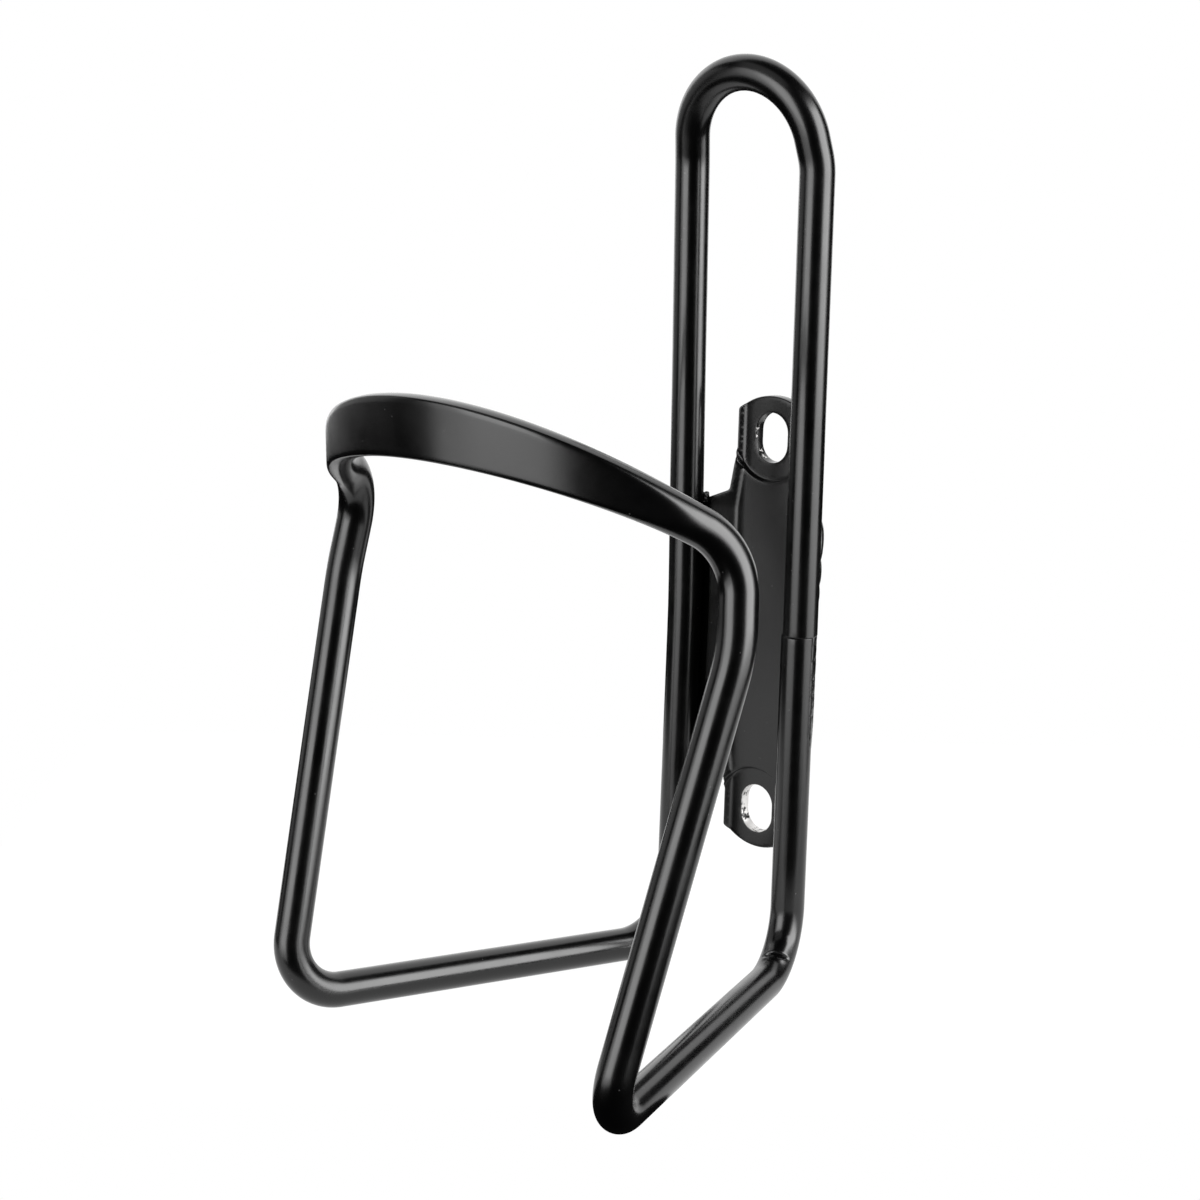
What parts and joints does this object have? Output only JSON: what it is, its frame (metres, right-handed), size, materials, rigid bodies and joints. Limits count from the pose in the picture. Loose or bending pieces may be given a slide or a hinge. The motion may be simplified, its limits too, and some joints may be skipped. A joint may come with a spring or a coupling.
{
  "type": "water bottle cage",
  "caption": "Bent-rod cage that grips a cycling bottle between two legs and a flattened front hoop, welded to a slotted plate that bolts to a bicycle frame.",
  "frame": {"origin": "on the plane that seats on the bicycle frame, midway between the centres of the two bolt slots", "axes": "+Z along the frame tube and the uprights, towards the top loop; -Y towards the bottle and the front hoop; +X to the right as seen from the bottle's side"},
  "size_m": [0.0828, 0.0835, 0.1518],
  "materials": {
    "rod_paint": "satin black paint",
    "plate_paint": "satin black paint",
    "right_bead_paint": "satin black paint over a rippled weld",
    "left_bead_paint": "satin black paint over a rippled weld"
  },
  "bodies": {
    "root": {"bent_rod": "rod_paint", "mounting_plate": "plate_paint", "right_weld_bead": "right_bead_paint", "left_weld_bead": "left_bead_paint"}
  },
  "joints": []
}
